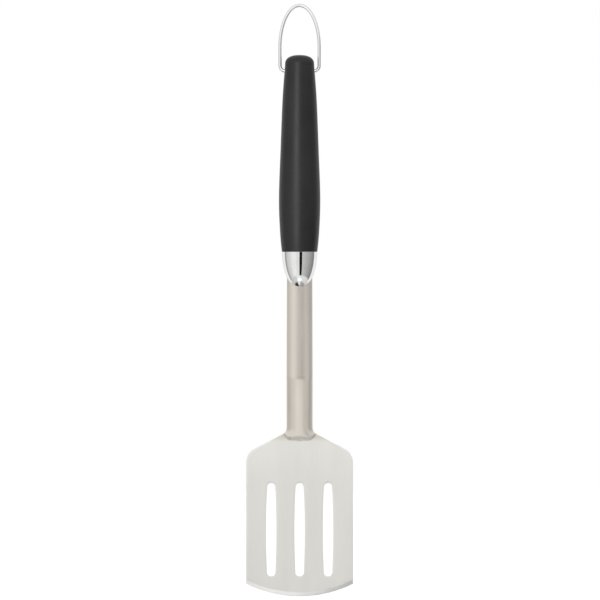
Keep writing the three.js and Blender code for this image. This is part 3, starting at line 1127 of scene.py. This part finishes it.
@dataclass
class HangingLoop:
    """The wire bail that the spatula hangs from."""

    UV_NAME = "wire_uv"
    wire = 2.5

    corner_radius: float = 4.0
    crown_rise: float = 32.0
    leg_end: float = 5.5
    sides: int = 28
    leg_steps: int = 3
    corner_steps: int = 14
    side_steps: int = 4
    crown_steps: int = 36  # on each side
    uv_length: float = 10.0  # of wire, that one unit of its UV map covers
    finish: DrawnWire = DrawnWire()

    def __post_init__(self) -> None:
        """Takes its box from the frame."""
        low, high = node_box("hanging_loop")
        self.half = high.x - self.wire / 2
        self.pivot = low.z + self.wire / 2
        self.spring = high.z - self.wire / 2 - self.crown_rise

    def line(self) -> list[Vector]:
        """The wire's middle line, from the end of one leg to the end of the other."""
        corner = self.half - self.corner_radius
        corner_z = self.pivot + self.corner_radius
        leg = runs([self.leg_end], [self.leg_steps], corner)
        right = [(x, self.pivot) for x in leg[:-1]]
        for sine, cosine in quarter_turn(self.corner_steps):
            right.append((
                corner + self.corner_radius * sine, corner_z - self.corner_radius * cosine,
            ))
        side = runs([corner_z], [self.side_steps], self.spring)
        right += [(self.half, z) for z in side[1:-1]]
        for sine, cosine in quarter_turn(self.crown_steps):
            right.append((self.half * cosine, self.spring + self.crown_rise * sine))
        left = [(-x, z) for x, z in right[-2::-1]]
        return [Vector((x, 0, z)) for x, z in right + left]

    def build(self) -> bpy.types.Object:
        """Makes the finished loop, which stands for its CAD node."""
        points = self.line()
        bm = bmesh.new()
        uv = bm.loops.layers.uv.new(self.UV_NAME)
        along = bm.verts.layers.float.new("along")
        around = bm.verts.layers.float.new("around")
        radius = self.wire / 2
        ring = bmesh.ops.create_circle(bm, segments=self.sides, radius=radius)["verts"]
        flat = {vert: vert.co.copy() for vert in ring}
        for vert in ring:
            vert[around] = math.atan2(vert.co.y, vert.co.x) / math.tau + 0.5
        covered = 0.0
        edges = bm.edges[:]
        for index, point in enumerate(points):
            before, after = points[max(0, index - 1)], points[min(len(points) - 1, index + 1)]
            if index:
                covered += (point - points[index - 1]).length
                made = bmesh.ops.extrude_edge_only(bm, edges=edges)["geom"]
                fresh = {item for item in made if isinstance(item, bmesh.types.BMVert)}
                edges = [item for item in made if isinstance(item, bmesh.types.BMEdge)]
                edges = [edge for edge in edges if fresh.issuperset(edge.verts)]
                flat = {vert: self.matching(vert, flat) for vert in fresh}
            tangent = (after - before).normalized()
            sideways = Vector((0, 1, 0)).cross(tangent)
            for vert, co in flat.items():
                vert.co = point + sideways * co.x + Vector((0, 1, 0)) * co.y
                vert[along] = covered / self.uv_length
        bmesh.ops.holes_fill(bm, edges=[edge for edge in bm.edges if edge.is_boundary], sides=0)
        bmesh.ops.recalc_face_normals(bm, faces=bm.faces)
        self.unwrap(bm, uv, along, around)
        piece = finish_piece(bm, "wire_loop", sharp=40)
        piece.data.materials.append(self.finish.material())
        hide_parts("hanging_loop")
        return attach(piece, "hanging_loop")

    @staticmethod
    def matching(vert: bmesh.types.BMVert, flat: dict[bmesh.types.BMVert, Vector]) -> Vector:
        """The flat place of the vertex that a new one was extruded from."""
        for edge in vert.link_edges:
            other = edge.other_vert(vert)
            if other in flat:
                return flat[other]
        raise ValueError("a new ring has lost the one before it")

    @staticmethod
    def unwrap(
        bm: BMesh, uv: bmesh.types.BMLayerItem,
        along: bmesh.types.BMLayerItem, around: bmesh.types.BMLayerItem,
    ) -> None:
        """Writes the wire's length and girth into its UV map, with the seam kept in one face."""
        for face in bm.faces:
            turns = [loop.vert[around] for loop in face.loops]
            wraps = max(turns) - min(turns) > 0.5
            for loop in face.loops:
                turn = loop.vert[around]
                loop[uv].uv = (loop.vert[along], turn + 1 if wraps and turn < 0.5 else turn)


# ---- inside the handle ---------------------------------------------------------------------


@dataclass
class InnerParts:
    """The core shells and rivets inside the grip, which keep their CAD shapes."""

    shells: tuple[str, ...] = ("core_front_shell", "core_back_shell")
    rivets: tuple[str, ...] = ("tang_rivet_bottom", "tang_rivet_middle", "tang_rivet_top")
    nylon: MouldedNylon = MouldedNylon()
    rivet_steel: BrushedSteel = BrushedSteel(
        "rivet_steel", "rivet_steel", light=(0.62, 0.62, 0.61), dark=(0.50, 0.50, 0.49),
        roughness=(0.30, 0.45), grain=Grain.CROSSWISE,
    )

    def build(self) -> list[bpy.types.Object]:
        """Dresses the CAD nodes."""
        dressed = []
        for names, finish in ((self.shells, self.nylon), (self.rivets, self.rivet_steel)):
            material = finish.material()
            for name in names:
                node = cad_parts[name]
                node.data.materials.clear()
                node.data.materials.append(material)
                dressed.append(node)
        return dressed


# ---- studio --------------------------------------------------------------------------------


@dataclass
class Studio:
    """Pale floor, soft light and the camera, in metres."""

    frame_height: float = 0.462
    aside: float = 0.0003  # how far the camera stands to the right
    lens: float = 400.0
    sensor: float = 36.0
    floor_drop: float = 0.12
    floor_size: float = 14.0
    floor_glow: float = 0.36
    # Each band goes round the studio: degrees to the right of the front, and the grey there.
    high: tuple[Pair, ...] = (
        (-180, 0.76), (-90, 0.90), (-40, 1.06), (30, 1.04), (100, 0.80), (180, 0.76),
    )
    level: tuple[Pair, ...] = (
        (-180, 0.78), (-150, 0.90), (-108, 1.05), (-103, 0.35), (-96, 0.36), (-86, 0.62),
        (-62, 0.78), (-42, 0.97), (-24, 0.97), (-14, 0.84), (-1.8, 0.90), (-0.8, 0.01),
        (14.5, 0.01), (15.5, 0.63), (40, 0.50), (92, 0.26), (100, 0.27), (107, 1.05),
        (150, 0.90), (180, 0.78),
    )
    low: tuple[Pair, ...] = (
        (-180, 0.72), (-90, 0.62), (-30, 0.76), (-17, 1.00), (6, 1.00), (12, 0.86),
        (40, 0.84), (90, 0.76), (180, 0.72),
    )
    under: tuple[Pair, ...] = (
        (-180, 0.03), (-75, 0.03), (-30, 0.10), (-26, 0.90), (10, 0.90), (16, 0.42), (80, 0.40),
        (110, 0.25), (180, 0.03),
    )
    # Elevations between which one band gives way to the next.
    high_from: Pair = (math.radians(3), math.radians(12))
    low_from: Pair = (math.radians(-36), math.radians(-40))
    under_from: Pair = (math.radians(-54), math.radians(-64))

    def camera(self, low: Vector, high: Vector) -> None:
        """Puts the camera straight in front of the object.

        Args:
            low: the object's lowest corner.
            high: its highest corner.
        """
        data = bpy.data.cameras.new("camera")
        data.lens = self.lens
        data.sensor_width = self.sensor
        distance = self.frame_height / 2 * self.lens / (self.sensor / 2)
        camera = stand("camera", data)
        camera.location = (self.aside, -distance, (low.z + high.z) / 2)
        camera.rotation_euler = (math.pi / 2, 0, 0)
        bpy.context.scene.camera = camera

    def floor(self, low: Vector) -> None:
        """Lays the floor under the object, which hangs clear of it."""
        bm = bmesh.new()
        bmesh.ops.create_grid(bm, x_segments=1, y_segments=1, size=self.floor_size / 2)
        mesh = bpy.data.meshes.new("floor")
        bm.to_mesh(mesh)
        bm.free()
        floor = stand("floor", mesh)
        floor.location.z = low.z - self.floor_drop
        nodes = Nodes("pale_floor")
        nodes.set(
            Base_Color=(0.8, 0.8, 0.8, 1), Roughness=0.9, Specular_IOR_Level=0.0,
            Emission_Color=(1, 1, 1, 1), Emission_Strength=self.floor_glow,
        )
        mesh.materials.append(nodes.material)
        floor.visible_glossy = False
        floor.visible_diffuse = False
        floor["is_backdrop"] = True

    def world(self) -> None:
        """Sets the surroundings: white to the eye, and softboxes with a gap to the metal."""
        world = bpy.data.worlds.new("studio")
        bpy.context.scene.world = world
        world.use_nodes = True
        nodes = Tree(world.node_tree)
        split = nodes.tree.nodes.new("ShaderNodeSeparateXYZ")
        nodes.link(nodes.tree.nodes.new("ShaderNodeTexCoord").outputs["Generated"], split.inputs[0])
        forward = nodes.maths("MULTIPLY", split.outputs["Y"], -1.0)
        turn = nodes.maths("ARCTAN2", split.outputs["X"], forward)
        share = nodes.spread(turn, 0.0, 1.0, -math.pi, math.pi)
        height = nodes.maths("ARCSINE", split.outputs["Z"], 0.0)
        under, low, level, high = (
            nodes.ramp(share, self.stops(band))
            for band in (self.under, self.low, self.level, self.high)
        )
        strength = nodes.mixed(nodes.step(height, *self.high_from), level, high)
        strength = nodes.mixed(nodes.step(height, *self.low_from), strength, low)
        strength = nodes.mixed(nodes.step(height, *self.under_from), strength, under)
        background = next(n for n in nodes.tree.nodes if n.type == "BACKGROUND")
        output = next(n for n in nodes.tree.nodes if n.type == "OUTPUT_WORLD")
        nodes.link(strength, background.inputs["Color"])
        seen = nodes.tree.nodes.new("ShaderNodeBackground")
        seen.inputs["Color"].default_value = (1, 1, 1, 1)
        rays = nodes.tree.nodes.new("ShaderNodeLightPath")
        choose = nodes.tree.nodes.new("ShaderNodeMixShader")
        nodes.link(rays.outputs["Is Camera Ray"], choose.inputs[0])
        nodes.link(background.outputs[0], choose.inputs[1])
        nodes.link(seen.outputs[0], choose.inputs[2])
        nodes.link(choose.outputs[0], output.inputs["Surface"])

    @staticmethod
    def stops(band: tuple[Pair, ...]) -> list[tuple[float, tuple[float, ...]]]:
        """A band's degrees round the studio as places on a ramp, with their greys."""
        return [(degrees / 360 + 0.5, (grey, grey, grey)) for degrees, grey in band]

    def lamp(
        self, name: str, place: Triple, target: Vector,
        size: Pair, brightness: float, only: str = "",
    ) -> None:
        """Hangs one softbox.

        Args:
            name: its name.
            place: where it hangs.
            target: what it faces.
            size: its width and height.
            brightness: how bright its face is, where 1 is white.
            only: the one piece that it is shaded to reach, if it isn't meant for all.
        """
        data = bpy.data.lights.new(name, "AREA")
        data.shape = "RECTANGLE"
        data.size, data.size_y = size
        data.energy = math.pi * size[0] * size[1] * brightness
        lamp = stand(name, data)
        lamp.location = place
        lamp.rotation_euler = (target - Vector(place)).to_track_quat("-Z", "Y").to_euler()
        lamp.visible_camera = False
        if only:
            reached = bpy.data.collections.new(name)
            reached.objects.link(bpy.data.objects[only])
            lamp.light_linking.receiver_collection = reached

    def build(self, low: Vector, high: Vector) -> None:
        """Sets up the whole studio round the object's box."""
        bpy.context.scene.view_settings.view_transform = "Standard"
        self.world()
        self.floor(low)
        self.camera(low, high)
        tip = Vector((0.0, high.y, low.z))
        self.lamp(
            "fill_card", place=(0.0, -0.27, low.z - 0.085), target=tip, size=(0.16, 0.06),
            brightness=1.2,
        )
        self.lamp(
            "side_card", place=(0.42, -0.30, low.z), target=Vector((0, high.y, -0.31)),
            size=(0.3, 0.3), brightness=0.45, only="stamped_blade",
        )
        self.lamp(
            "strip_light", place=(-0.42, -1.5, -0.14), target=(low + high) / 2,
            size=(0.16, 0.9), brightness=13.0, only="soft_grip",
        )
        self.lamp(
            "wire_light", place=(-0.05, -1.2, high.z), target=Vector((0, 0, high.z)),
            size=(0.8, 1.2), brightness=0.55, only="wire_loop",
        )


def main() -> None:
    """Builds every piece in order and reports it."""
    logging.basicConfig(level=logging.INFO, format="%(message)s")
    cad_low, cad_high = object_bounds()
    stamping = Stamping()
    steps: tuple[tuple[str, Callable[[], object]], ...] = (
        ("stamping", stamping.build),
        ("bolster", lambda: Bolster().build(stamping)),
        ("grip", Grip().build),
        ("hanging loop", HangingLoop().build),
        ("inner parts", InnerParts().build),
        ("studio", lambda: Studio().build(cad_low, cad_high)),
    )
    for name, step in steps:
        made = step()
        if isinstance(made, bpy.types.Object):
            LOG.info("%s: %s, %d faces", name, made.name, len(made.data.polygons))
        else:
            LOG.info("%s: done", name)


if __name__ == "__main__":
    main()
